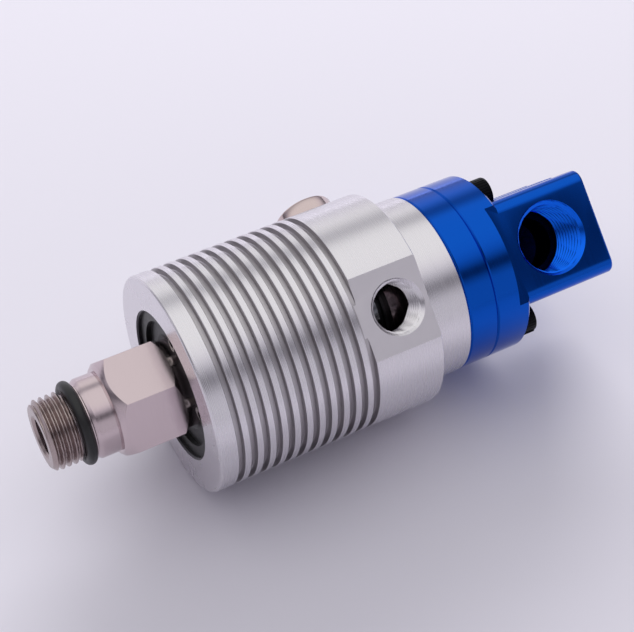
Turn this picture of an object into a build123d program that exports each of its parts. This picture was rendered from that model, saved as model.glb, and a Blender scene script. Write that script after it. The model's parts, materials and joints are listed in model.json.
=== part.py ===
"""Hydraulic rotary union: a hollow rotor turns in two ball bearings inside a fixed housing, and oil
passes from the inlet in the end cap to the rotor's bore across a pair of flat seal faces.

Everything is turned about the X axis. X = 0 is the shoulder where the rotor's hexagon seats against
the machine spindle, X grows towards the end cap, and Z is up. Lengths are in millimetres. A point of
a half-section is written (station along X, radius).
"""
from build123d import *
from math import cos, pi, radians, sin
import os

# Fits and clearances, all radial unless they name a face
SEAT_GAP = 0.01          # pieces pressed or screwed together on one body
RUN_GAP = 0.05           # pieces that turn or slide past each other
FILM_GAP = 0.02          # oil film between the two seal faces

# Rotor nose, from the shoulder towards the spindle
THREAD_D = 16.0          # M16x1.5, left-hand
NOSE_LENGTH = 15.0
NOSE_CHAMFER = 0.9
UNDERCUT_D = 14.2
PILOT_D = 18.0
PILOT_LENGTH = 4.3
PILOT_LEAD = 1.2         # length of the pilot's lead-in cone
PILOT_LEAD_DROP = 0.6
OIL_BORE_D = 8.5
OIL_BORE_LEAD = 0.6
NOSE_RING_SECTION = 2.4

# Rotor hexagon and journals, from the shoulder towards the end cap
HEX_ACROSS_FLATS = 21.0
HEX_LENGTH = 14.4
HEX_FRONT_CHAMFER = 2.4
HEX_REAR_CHAMFER = 1.3
JOURNAL_D = 20.0
BEARING_BORE_D = 17.0
SPIGOT_D = 14.0
SPIGOT_LENGTH = 4.8
SPIGOT_STEP = 0.4        # between the locknut and the spigot
SPIGOT_GROOVE_D = 11.6
SPIGOT_GROOVE_WIDTH = 1.8

# Ball bearings
BEARING_OUTER_D = 34.0
BEARING_WIDTH = 10.0
BALL_D = 4.76
BALL_COUNT = 8
INNER_LAND_D = 22.4
OUTER_LAND_D = 28.6
CAGE_THICKNESS = 1.3
CAGE_WIDTH = 6.2
SHIELD_THICKNESS = 0.8
SHIELD_INSET = 0.3
OUTER_SPACER_WALL = 1.5
INNER_SPACER_WALL = 2.2

# Locknut on the rotor
TAB_WASHER_D = 23.0
TAB_WASHER_THICKNESS = 1.0
LOCKNUT_D = 26.0
LOCKNUT_LENGTH = 5.0
LOCKNUT_SLOTS = 4
LOCKNUT_SLOT_WIDTH = 4.0
LOCKNUT_SLOT_DEPTH = 1.8

# Housing
HOUSING_GAP = 0.6        # between the hexagon's rear face and the housing's front face
HOUSING_D = 50.0
HOUSING_LENGTH = 54.2    # length of the full diameter
HOUSING_CHAMFER = 0.5
NECK_D = 42.0
NECK_LENGTH = 9.4
FIN_GROOVES = 12
FIN_PITCH = 2.94
FIN_GROOVE_WIDTH = 1.5
FIN_GROOVE_DEPTH = 1.5
FIN_FIRST = 5.0          # first groove's middle behind the front face
BEARING_SHOULDER_D = 29.0
BEARING_SHOULDER_LENGTH = 3.6
CHAMBER_D = 31.0
REAR_BORE_D = 27.0
REAR_BORE_LENGTH = 6.0

# Mouth of the housing
CIRCLIP_SETBACK = 1.0
CIRCLIP_THICKNESS = 1.2
CIRCLIP_GROOVE_D = 35.7
CIRCLIP_BAND = 3.0
CIRCLIP_GAP_ANGLE = 129.0  # middle of the circlip's opening
CIRCLIP_LUG_R = 11.6     # how near to the axis the lugs reach
CIRCLIP_LUG_ANGLE = 36.5
CIRCLIP_LUG_WIDTH = 3.6
CIRCLIP_EYE_D = 1.8
DUST_SEAL_WIDTH = 3.9
DUST_SEAL_BAND = 2.4
DUST_SEAL_WEB = 1.0
DUST_LIP_WIDTH = 2.2
DUST_LIP_THICKNESS = 1.0
GARTER_SECTION = 0.9

# Drain ports: three round threaded holes, each in its own milled flat
PORT_ANGLE = 135.0       # direction of the first port, from +Y towards +Z
PORT_COUNT = 3
PORT_SETBACK = 7.3       # port centre ahead of the step down to the neck
PORT_FLAT_DEPTH = 1.8    # below the barrel's surface, at the middle of the flat
PORT_THREAD_D = 12.0     # M12x1.25
PORT_BORE_D = 10.6
PORT_LEAD = 0.9

# Plug in one of the drain ports
PLUG_PORT = 2
PLUG_COLLAR_D = 14.0
PLUG_COLLAR_LENGTH = 4.0
PLUG_SHANK_LENGTH = 6.0
PLUG_SOCKET = 6.0
PLUG_SOCKET_DEPTH = 3.0
PLUG_WASHER_THICKNESS = 0.8
PLUG_EDGE = 0.4

# Seal faces and the floating carrier
SEAL_RING_D = 22.0
SEAL_RING_LENGTH = 7.4
SEAL_RING_FACE = 3.6     # solid length in front of the spigot's end
CARBON_FACE_D = 17.6
CARBON_NOSE = 1.6
CARBON_D = 20.0
CARBON_LENGTH = 5.0
CARBON_BORE_D = 9.4
CARRIER_D = 25.6
CARRIER_OVERLAP = 2.8    # depth of the carrier's pocket round the carbon ring
CARRIER_LENGTH = 5.8
CARRIER_TUBE_D = 14.0
CARRIER_TUBE_LENGTH = 18.0
CARRIER_BORE_D = 9.0
CARRIER_TRAVEL = 0.6
CARRIER_ROOM = 4.68      # between the carrier's rear face and the adapter ring's spigot
SPRING_COUNT = 3
SPRING_CIRCLE_D = 20.0
SPRING_D = 3.0
SPRING_WIRE = 0.5
SPRING_TURNS = 5
SPRING_POCKET_DEPTH = 3.0
PIN_COUNT = 2
PIN_D = 2.0
PIN_ENGAGEMENT = 2.0

# Blue adapter ring and end cap
CAP_D = 41.8
CAP_EDGE = 0.4
ADAPTER_LENGTH = 7.1
ADAPTER_SPIGOT = 4.0
ADAPTER_RING_GROOVE_DEPTH = 1.2
ADAPTER_RING_GROOVE_WIDTH = 1.8
CARRIER_RING_GROOVE_DEPTH = 1.6
CARRIER_RING_GROOVE_WIDTH = 2.2
FLANGE_LENGTH = 8.5
BLOCK_LENGTH = 22.8
BLOCK_PORT_SIDE = 17.5   # from the axis to the port face
BLOCK_BACK = 12.5        # from the axis to the face opposite
BLOCK_HEIGHT = 24.5
BLOCK_FILLET = 3.0
BLOCK_EDGE = 0.4
FACE_RUNOUT = 2.8        # how far the port face runs into the flange
CAP_BORE_D = 10.0
CAP_COUNTERBORE_D = 15.2
CAP_COUNTERBORE_DEPTH = 5.0
FACE_RING_D = 22.0       # middle of the O-ring between cap and adapter
FACE_RING_SECTION = 1.8
FACE_RING_GROOVE_DEPTH = 1.4
INLET_ANGLE = 132.0      # direction of the inlet and its milled face
INLET_SETBACK = 12.5     # inlet centre ahead of the block's end
INLET_THREAD_D = 16.66   # G3/8
INLET_BORE_D = 14.95
INLET_THREAD_DEPTH = 12.5
INLET_DRILL_D = 12.0
INLET_LEAD = 1.0

# Cap screws, M4x20
SCREW_CIRCLE_D = 33.0
SCREW_ANGLE = 66.0       # each screw from the plane of the axis and the first port
SCREW_D = 4.0
SCREW_LENGTH = 20.0
SCREW_HEAD_D = 7.0
SCREW_HEAD_LENGTH = 4.0
SCREW_SOCKET = 3.0
SCREW_SOCKET_DEPTH = 2.2
SCREW_HOLE_D = 4.3
SCREW_RELIEF_D = 8.0
TAPPED_DEPTH = 5.0

# Stations along X
hex_rear = HEX_LENGTH
housing_front = hex_rear + HOUSING_GAP
neck_front = housing_front + HOUSING_LENGTH
housing_rear = neck_front + NECK_LENGTH
circlip_front = housing_front + CIRCLIP_SETBACK
dust_seal_front = circlip_front + CIRCLIP_THICKNESS
front_bearing = dust_seal_front + DUST_SEAL_WIDTH
spacer_front = front_bearing + BEARING_WIDTH
adapter_rear = housing_rear + ADAPTER_LENGTH
adapter_spigot_front = housing_rear - ADAPTER_SPIGOT
carrier_rear = adapter_spigot_front - CARRIER_ROOM
carrier_front = carrier_rear - CARRIER_LENGTH
carbon_rear = carrier_front + CARRIER_OVERLAP
carbon_front = carbon_rear - CARBON_LENGTH
seal_face = carbon_front - FILM_GAP
seal_ring_front = seal_face - SEAL_RING_LENGTH
spigot_rear = seal_face - SEAL_RING_FACE
spigot_front = spigot_rear - SPIGOT_LENGTH
locknut_rear = spigot_front - SPIGOT_STEP
locknut_front = locknut_rear - LOCKNUT_LENGTH
bearings_rear = locknut_front - TAB_WASHER_THICKNESS
rear_bearing = bearings_rear - BEARING_WIDTH
flange_rear = adapter_rear + FLANGE_LENGTH
block_rear = flange_rear + BLOCK_LENGTH
port_station = neck_front - PORT_SETBACK
inlet_station = block_rear - INLET_SETBACK
port_flat_r = HOUSING_D / 2 - PORT_FLAT_DEPTH
pitch_r = (INNER_LAND_D + OUTER_LAND_D) / 4
raceway_r = BALL_D / 2 + RUN_GAP
block_middle = (BLOCK_PORT_SIDE - BLOCK_BACK) / 2

os.makedirs("parts", exist_ok=True)


def section(*corners):
    """A closed half-section in the XY plane, from its corners."""
    with BuildSketch(Plane.XY) as outline:
        with BuildLine():
            Polyline(*corners, close=True)
        make_face()
    return outline.sketch


def turn(*corners, mode=Mode.ADD):
    """Turn a closed half-section about the union's axis, in the part being built."""
    revolve(section(*corners), axis=Axis.X, mode=mode)


def turn_ring(front, rear, inner_r, outer_r, mode=Mode.ADD):
    """Turn a plain ring between two stations."""
    turn((front, inner_r), (rear, inner_r), (rear, outer_r), (front, outer_r), mode=mode)


def torus_profile(station, middle_r, section_r):
    """The round half-section of an O-ring, a garter spring or a raceway."""
    with BuildSketch(Plane.XY) as outline:
        with Locations((station, middle_r)):
            Circle(section_r)
    return outline.sketch


def outward(angle):
    """Unit vector square to the axis, at an angle from +Y towards +Z."""
    return Vector(0, cos(radians(angle)), sin(radians(angle)))


def plane_outward(station, angle, distance):
    """Plane whose normal points away from the axis; its X runs along the union."""
    normal = outward(angle)
    return Plane(origin=Vector(station, 0, 0) + normal * distance, x_dir=(1, 0, 0), z_dir=normal)


def plane_across(station, angle):
    """Plane square to the axis, looking towards the end cap; its X points outward at the angle."""
    return Plane(origin=(station, 0, 0), x_dir=outward(angle), z_dir=(1, 0, 0))


def screw_places():
    """The four cap screws, seen on a plane across the axis at the port angle."""
    across = SCREW_CIRCLE_D * cos(radians(SCREW_ANGLE))
    along = SCREW_CIRCLE_D * sin(radians(SCREW_ANGLE))
    return GridLocations(across, along, 2, 2)


def finish(name, part):
    """Label a finished piece and write its file."""
    part.label = name
    export_step(part, f"parts/{name}.step")


# ---------------------------------------------------------------- rotor
nose_front = -NOSE_LENGTH
undercut_front = -PILOT_LENGTH - PILOT_LEAD - NOSE_RING_SECTION - 0.7
pilot_tip = -PILOT_LENGTH - PILOT_LEAD
bore_r = OIL_BORE_D / 2
hex_corner_r = HEX_ACROSS_FLATS / 2 / cos(pi / 6)

with BuildPart() as rotor:
    with BuildSketch(Plane.YZ):
        RegularPolygon(HEX_ACROSS_FLATS / 2, 6, major_radius=False, rotation=PORT_ANGLE - 4)
    extrude(amount=HEX_LENGTH)
    turn((0, 0), (HEX_LENGTH, 0),
         (HEX_LENGTH, hex_corner_r - HEX_REAR_CHAMFER),
         (HEX_LENGTH - HEX_REAR_CHAMFER, hex_corner_r),
         (HEX_FRONT_CHAMFER, hex_corner_r),
         (0, hex_corner_r - HEX_FRONT_CHAMFER), mode=Mode.INTERSECT)
    turn((nose_front, 0), (nose_front, THREAD_D / 2 - NOSE_CHAMFER),
         (nose_front + NOSE_CHAMFER, THREAD_D / 2), (undercut_front, THREAD_D / 2),
         (undercut_front + 0.4, UNDERCUT_D / 2), (pilot_tip, UNDERCUT_D / 2),
         (pilot_tip, PILOT_D / 2 - PILOT_LEAD_DROP), (-PILOT_LENGTH, PILOT_D / 2),
         (0, PILOT_D / 2), (0, 0))
    turn((hex_rear, 0), (hex_rear, JOURNAL_D / 2), (front_bearing, JOURNAL_D / 2),
         (front_bearing, BEARING_BORE_D / 2), (spigot_front, BEARING_BORE_D / 2),
         (spigot_front, SPIGOT_D / 2), (spigot_rear, SPIGOT_D / 2), (spigot_rear, 0))
    groove_middle = (spigot_front + spigot_rear) / 2
    turn_ring(groove_middle - SPIGOT_GROOVE_WIDTH / 2, groove_middle + SPIGOT_GROOVE_WIDTH / 2,
              SPIGOT_GROOVE_D / 2, SPIGOT_D, mode=Mode.SUBTRACT)
    turn((nose_front, 0), (nose_front, bore_r + OIL_BORE_LEAD), (nose_front + OIL_BORE_LEAD, bore_r),
         (spigot_rear, bore_r), (spigot_rear, 0), mode=Mode.SUBTRACT)
finish("rotor", rotor.part)

nose_ring_middle = UNDERCUT_D / 2 + NOSE_RING_SECTION / 2
with BuildPart() as nose_oring:
    revolve(torus_profile(pilot_tip - NOSE_RING_SECTION / 2, nose_ring_middle,
                          NOSE_RING_SECTION / 2), axis=Axis.X)
finish("nose_oring", nose_oring.part)


# ---------------------------------------------------------------- ball bearings
def inner_ring(front):
    """Inner ring with its raceway."""
    with BuildPart() as ring:
        turn_ring(front, front + BEARING_WIDTH, BEARING_BORE_D / 2 + SEAT_GAP, INNER_LAND_D / 2)
        revolve(torus_profile(front + BEARING_WIDTH / 2, pitch_r, raceway_r), axis=Axis.X,
                mode=Mode.SUBTRACT)
    return ring.part


def outer_ring(front):
    """Outer ring with its raceway."""
    with BuildPart() as ring:
        turn_ring(front, front + BEARING_WIDTH, OUTER_LAND_D / 2, BEARING_OUTER_D / 2 - SEAT_GAP)
        revolve(torus_profile(front + BEARING_WIDTH / 2, pitch_r, raceway_r), axis=Axis.X,
                mode=Mode.SUBTRACT)
    return ring.part


def ball_set(front):
    """The ring of balls, on their pitch circle."""
    with BuildPart() as balls:
        with Locations(plane_across(front + BEARING_WIDTH / 2, PORT_ANGLE)):
            with PolarLocations(pitch_r, BALL_COUNT):
                Sphere(BALL_D / 2)
    return balls.part


def cage(front):
    """One-piece cage with a round pocket for each ball."""
    middle = front + BEARING_WIDTH / 2
    with BuildPart() as band:
        turn_ring(middle - CAGE_WIDTH / 2, middle + CAGE_WIDTH / 2,
                  pitch_r - CAGE_THICKNESS / 2, pitch_r + CAGE_THICKNESS / 2)
        for index in range(BALL_COUNT):
            with Locations(plane_outward(middle, PORT_ANGLE + index * 360 / BALL_COUNT, BEARING_OUTER_D)):
                Hole(BALL_D / 2 + RUN_GAP, depth=BEARING_OUTER_D)
    return band.part


def shields(front):
    """The two rubber shields, held by the outer ring and just clear of the inner one."""
    with BuildPart() as pair:
        for side in (front + SHIELD_INSET, front + BEARING_WIDTH - SHIELD_INSET - SHIELD_THICKNESS):
            turn_ring(side, side + SHIELD_THICKNESS,
                      INNER_LAND_D / 2 + RUN_GAP, OUTER_LAND_D / 2 - SEAT_GAP)
    return pair.part


for place, front in (("front", front_bearing), ("rear", rear_bearing)):
    finish(f"{place}_bearing_inner", inner_ring(front))
    finish(f"{place}_bearing_outer", outer_ring(front))
    finish(f"{place}_bearing_balls", ball_set(front))
    finish(f"{place}_bearing_cage", cage(front))
    finish(f"{place}_bearing_shields", shields(front))

inner_seat_r = BEARING_BORE_D / 2 + SEAT_GAP
outer_seat_r = BEARING_OUTER_D / 2 - SEAT_GAP
with BuildPart() as inner_spacer:
    turn_ring(spacer_front, rear_bearing, inner_seat_r, inner_seat_r + INNER_SPACER_WALL)
finish("inner_spacer", inner_spacer.part)

with BuildPart() as outer_spacer:
    turn_ring(spacer_front, rear_bearing, outer_seat_r - OUTER_SPACER_WALL, outer_seat_r)
finish("outer_spacer", outer_spacer.part)

with BuildPart() as tab_washer:
    turn_ring(bearings_rear, locknut_front, inner_seat_r, TAB_WASHER_D / 2)
finish("tab_washer", tab_washer.part)

with BuildPart() as locknut:
    turn_ring(locknut_front, locknut_rear, inner_seat_r, LOCKNUT_D / 2)
    with BuildSketch(Plane.YZ.offset(locknut_front)):
        with PolarLocations(LOCKNUT_D / 2, LOCKNUT_SLOTS):
            Rectangle(2 * LOCKNUT_SLOT_DEPTH, LOCKNUT_SLOT_WIDTH)
    extrude(amount=LOCKNUT_LENGTH, mode=Mode.SUBTRACT)
finish("locknut", locknut.part)

# ---------------------------------------------------------------- housing
fin_root_r = HOUSING_D / 2 - FIN_GROOVE_DEPTH
bearing_seat_r = BEARING_OUTER_D / 2
chamber_front = bearings_rear + BEARING_SHOULDER_LENGTH
chamber_rear = housing_rear - REAR_BORE_LENGTH
last_groove = housing_front + FIN_FIRST + (FIN_GROOVES - 1) * FIN_PITCH
# The flats start in the last groove, or ahead of the plug's collar if that lies further forward
flat_front = min(last_groove, port_station - PLUG_COLLAR_D / 2 - RUN_GAP)

with BuildPart() as housing:
    turn((housing_front, bearing_seat_r), (bearings_rear, bearing_seat_r),
         (bearings_rear, BEARING_SHOULDER_D / 2), (chamber_front, BEARING_SHOULDER_D / 2),
         (chamber_front, CHAMBER_D / 2), (chamber_rear, CHAMBER_D / 2),
         (chamber_rear, REAR_BORE_D / 2), (housing_rear, REAR_BORE_D / 2),
         (housing_rear, NECK_D / 2), (neck_front, NECK_D / 2), (neck_front, HOUSING_D / 2),
         (housing_front + HOUSING_CHAMFER, HOUSING_D / 2),
         (housing_front, HOUSING_D / 2 - HOUSING_CHAMFER))
    turn_ring(circlip_front, circlip_front + CIRCLIP_THICKNESS, 0, CIRCLIP_GROOVE_D / 2,
              mode=Mode.SUBTRACT)
    for index in range(FIN_GROOVES):
        middle = housing_front + FIN_FIRST + index * FIN_PITCH
        turn_ring(middle - FIN_GROOVE_WIDTH / 2, middle + FIN_GROOVE_WIDTH / 2,
                  fin_root_r, HOUSING_D, mode=Mode.SUBTRACT)
    for index in range(PORT_COUNT):
        angle = PORT_ANGLE + index * 360 / PORT_COUNT
        with BuildSketch(plane_outward(flat_front, angle, port_flat_r)):
            Rectangle(neck_front - flat_front, HOUSING_D, align=(Align.MIN, Align.CENTER))
        extrude(amount=HOUSING_D, mode=Mode.SUBTRACT)
        with Locations(plane_outward(port_station, angle, port_flat_r)):
            CounterSinkHole(PORT_BORE_D / 2, PORT_BORE_D / 2 + PORT_LEAD, depth=port_flat_r,
                            counter_sink_angle=90)
    with BuildSketch(plane_across(housing_rear, PORT_ANGLE)):
        with screw_places():
            Circle(SCREW_D / 2 + SEAT_GAP)
    extrude(amount=-TAPPED_DEPTH, mode=Mode.SUBTRACT)
finish("housing", housing.part)

# ---------------------------------------------------------------- mouth of the housing
circlip_r = CIRCLIP_GROOVE_D / 2 - SEAT_GAP
lug_length = circlip_r - CIRCLIP_LUG_R
with BuildPart() as mouth_circlip:
    with BuildSketch(plane_across(circlip_front, CIRCLIP_GAP_ANGLE)):
        Circle(circlip_r)
        with Locations((CIRCLIP_BAND / 4, 0)):
            Circle(circlip_r - CIRCLIP_BAND, mode=Mode.SUBTRACT)
        with BuildLine():
            Polyline((0, 0), (2 * circlip_r, 2 * circlip_r * sin(radians(CIRCLIP_LUG_ANGLE))),
                     (2 * circlip_r, -2 * circlip_r * sin(radians(CIRCLIP_LUG_ANGLE))), close=True)
        make_face(mode=Mode.SUBTRACT)
        for side in (-1, 1):
            with PolarLocations(circlip_r - lug_length / 2, 1, start_angle=side * CIRCLIP_LUG_ANGLE):
                Rectangle(lug_length - 1.2, CIRCLIP_LUG_WIDTH)
            with PolarLocations(CIRCLIP_LUG_R + 1.9, 1, start_angle=side * CIRCLIP_LUG_ANGLE):
                Circle(CIRCLIP_EYE_D / 2, mode=Mode.SUBTRACT)
    extrude(amount=CIRCLIP_THICKNESS)
finish("mouth_circlip", mouth_circlip.part)

dust_seal_rear = dust_seal_front + DUST_SEAL_WIDTH
dust_seal_r = bearing_seat_r - SEAT_GAP
dust_lip_r = JOURNAL_D / 2 + RUN_GAP
garter_groove_r = dust_lip_r + DUST_LIP_THICKNESS
garter_station = dust_seal_front + DUST_SEAL_WEB + DUST_LIP_WIDTH / 2
with BuildPart() as dust_seal:
    turn((dust_seal_front, dust_lip_r + DUST_LIP_THICKNESS), (dust_seal_front, dust_seal_r),
         (dust_seal_rear, dust_seal_r), (dust_seal_rear, dust_seal_r - DUST_SEAL_BAND),
         (dust_seal_front + DUST_SEAL_WEB, dust_seal_r - DUST_SEAL_BAND),
         (dust_seal_front + DUST_SEAL_WEB, garter_groove_r),
         (dust_seal_front + DUST_SEAL_WEB + DUST_LIP_WIDTH, garter_groove_r),
         (dust_seal_front + DUST_SEAL_WEB + DUST_LIP_WIDTH, dust_lip_r),
         (dust_seal_front + DUST_SEAL_WEB / 2, dust_lip_r))
finish("dust_seal", dust_seal.part)

with BuildPart() as garter_spring:
    revolve(torus_profile(garter_station, garter_groove_r + GARTER_SECTION / 2,
                          GARTER_SECTION / 2), axis=Axis.X)
finish("garter_spring", garter_spring.part)

# ---------------------------------------------------------------- plug in a drain port
plug_angle = PORT_ANGLE + PLUG_PORT * 360 / PORT_COUNT
collar_r = port_flat_r + PLUG_WASHER_THICKNESS
shank_r = PORT_BORE_D / 2 - SEAT_GAP
with BuildPart() as plug_washer:
    with BuildSketch(plane_outward(port_station, plug_angle, port_flat_r)):
        Circle(PLUG_COLLAR_D / 2 - PLUG_EDGE)
        Circle(PORT_BORE_D / 2, mode=Mode.SUBTRACT)
    extrude(amount=PLUG_WASHER_THICKNESS)
finish("plug_washer", plug_washer.part)

with BuildPart() as drain_plug:
    with BuildSketch(plane_outward(port_station, plug_angle, collar_r)):
        Circle(PLUG_COLLAR_D / 2)
    extrude(amount=PLUG_COLLAR_LENGTH)
    rim = drain_plug.edges().filter_by(GeomType.CIRCLE).group_by(SortBy.RADIUS)[-1]
    chamfer(rim, PLUG_EDGE)
    with BuildSketch(plane_outward(port_station, plug_angle, collar_r)):
        Circle(shank_r)
    extrude(amount=-PLUG_SHANK_LENGTH)
    with BuildSketch(plane_outward(port_station, plug_angle, collar_r + PLUG_COLLAR_LENGTH)):
        RegularPolygon(PLUG_SOCKET / 2, 6, major_radius=False)
    extrude(amount=-PLUG_SOCKET_DEPTH, mode=Mode.SUBTRACT)
finish("drain_plug", drain_plug.part)

# ---------------------------------------------------------------- seal faces
with BuildPart() as rotating_seal_ring:
    turn_ring(seal_ring_front, seal_face, bore_r, SEAL_RING_D / 2)
    turn_ring(seal_ring_front, spigot_rear, 0, SPIGOT_D / 2 + RUN_GAP, mode=Mode.SUBTRACT)
finish("rotating_seal_ring", rotating_seal_ring.part)

spigot_ring_section = SPIGOT_D / 2 + RUN_GAP - SPIGOT_GROOVE_D / 2
with BuildPart() as spigot_oring:
    revolve(torus_profile(groove_middle, (SPIGOT_GROOVE_D + spigot_ring_section) / 2,
                          spigot_ring_section / 2), axis=Axis.X)
finish("spigot_oring", spigot_oring.part)

with BuildPart() as carbon_ring:
    turn((carbon_front, CARBON_BORE_D / 2), (carbon_rear, CARBON_BORE_D / 2),
         (carbon_rear, CARBON_D / 2), (carbon_front + CARBON_NOSE, CARBON_D / 2),
         (carbon_front + CARBON_NOSE, CARBON_FACE_D / 2), (carbon_front, CARBON_FACE_D / 2))
finish("carbon_ring", carbon_ring.part)

pin_circle_r = SPRING_CIRCLE_D / 2
with BuildPart() as seal_carrier:
    turn((carbon_rear, CARRIER_BORE_D / 2), (carbon_rear, CARBON_D / 2 + SEAT_GAP),
         (carrier_front, CARBON_D / 2 + SEAT_GAP), (carrier_front, CARRIER_D / 2),
         (carrier_rear, CARRIER_D / 2), (carrier_rear, CARRIER_TUBE_D / 2),
         (carrier_rear + CARRIER_TUBE_LENGTH, CARRIER_TUBE_D / 2),
         (carrier_rear + CARRIER_TUBE_LENGTH, CARRIER_BORE_D / 2))
    with BuildSketch(plane_across(carrier_rear, PORT_ANGLE)):
        with PolarLocations(pin_circle_r, PIN_COUNT):
            Circle(PIN_D / 2 + RUN_GAP)
    extrude(amount=-PIN_ENGAGEMENT - CARRIER_TRAVEL - RUN_GAP, mode=Mode.SUBTRACT)
finish("seal_carrier", seal_carrier.part)

# ---------------------------------------------------------------- adapter ring
tube_bore_r = CARRIER_TUBE_D / 2 + RUN_GAP
adapter_spigot_r = REAR_BORE_D / 2 - SEAT_GAP
adapter_ring_middle = housing_rear - ADAPTER_SPIGOT / 2
carrier_ring_middle = (housing_rear + adapter_rear) / 2
with BuildPart() as adapter_ring:
    turn((adapter_spigot_front, tube_bore_r), (adapter_rear, tube_bore_r),
         (adapter_rear, CAP_D / 2 - CAP_EDGE), (adapter_rear - CAP_EDGE, CAP_D / 2),
         (housing_rear + CAP_EDGE, CAP_D / 2), (housing_rear, CAP_D / 2 - CAP_EDGE),
         (housing_rear, adapter_spigot_r), (adapter_spigot_front, adapter_spigot_r))
    turn_ring(adapter_ring_middle - ADAPTER_RING_GROOVE_WIDTH / 2,
              adapter_ring_middle + ADAPTER_RING_GROOVE_WIDTH / 2,
              adapter_spigot_r - ADAPTER_RING_GROOVE_DEPTH, REAR_BORE_D, mode=Mode.SUBTRACT)
    turn_ring(carrier_ring_middle - CARRIER_RING_GROOVE_WIDTH / 2,
              carrier_ring_middle + CARRIER_RING_GROOVE_WIDTH / 2,
              0, tube_bore_r + CARRIER_RING_GROOVE_DEPTH, mode=Mode.SUBTRACT)
    with BuildSketch(plane_across(adapter_spigot_front, PORT_ANGLE)):
        with PolarLocations(SPRING_CIRCLE_D / 2, SPRING_COUNT, start_angle=90):
            Circle(SPRING_D / 2 + RUN_GAP)
    extrude(amount=SPRING_POCKET_DEPTH, mode=Mode.SUBTRACT)
    with BuildSketch(plane_across(adapter_spigot_front, PORT_ANGLE)):
        with PolarLocations(pin_circle_r, PIN_COUNT):
            Circle(PIN_D / 2 + SEAT_GAP)
    extrude(amount=SPRING_POCKET_DEPTH, mode=Mode.SUBTRACT)
    with BuildSketch(plane_across(housing_rear, PORT_ANGLE)):
        with screw_places():
            Circle(SCREW_HOLE_D / 2)
    extrude(amount=ADAPTER_LENGTH, mode=Mode.SUBTRACT)
finish("adapter_ring", adapter_ring.part)

adapter_oring_section = (REAR_BORE_D / 2 - adapter_spigot_r + ADAPTER_RING_GROOVE_DEPTH)
with BuildPart() as adapter_oring:
    revolve(torus_profile(adapter_ring_middle, REAR_BORE_D / 2 - adapter_oring_section / 2,
                          adapter_oring_section / 2), axis=Axis.X)
finish("adapter_oring", adapter_oring.part)

carrier_oring_section = CARRIER_RING_GROOVE_DEPTH
with BuildPart() as carrier_oring:
    revolve(torus_profile(carrier_ring_middle, tube_bore_r + carrier_oring_section / 2,
                          carrier_oring_section / 2), axis=Axis.X)
finish("carrier_oring", carrier_oring.part)

pin_front = carrier_rear - PIN_ENGAGEMENT
with BuildPart() as drive_pins:
    with BuildSketch(plane_across(pin_front, PORT_ANGLE)):
        with PolarLocations(pin_circle_r, PIN_COUNT):
            Circle(PIN_D / 2)
    extrude(amount=adapter_spigot_front + SPRING_POCKET_DEPTH - pin_front)
finish("drive_pins", drive_pins.part)

spring_length = adapter_spigot_front + SPRING_POCKET_DEPTH - CARRIER_TRAVEL - RUN_GAP - carrier_rear
coil_r = (SPRING_D - SPRING_WIRE) / 2
helix_length = spring_length - SPRING_WIRE
with BuildPart() as carrier_springs:
    for index in range(SPRING_COUNT):
        direction = outward(PORT_ANGLE + 90 + index * 360 / SPRING_COUNT)
        seat = Vector(carrier_rear + SPRING_WIRE / 2, 0, 0) + direction * (SPRING_CIRCLE_D / 2)
        with BuildLine() as coil:
            Helix(pitch=helix_length / SPRING_TURNS, height=helix_length, radius=coil_r,
                  center=seat, direction=(1, 0, 0))
        with BuildSketch(Plane(origin=coil.line @ 0, z_dir=coil.line % 0)):
            Circle(SPRING_WIRE / 2)
        sweep(path=coil.line, is_frenet=True)
finish("carrier_springs", carrier_springs.part)

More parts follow.
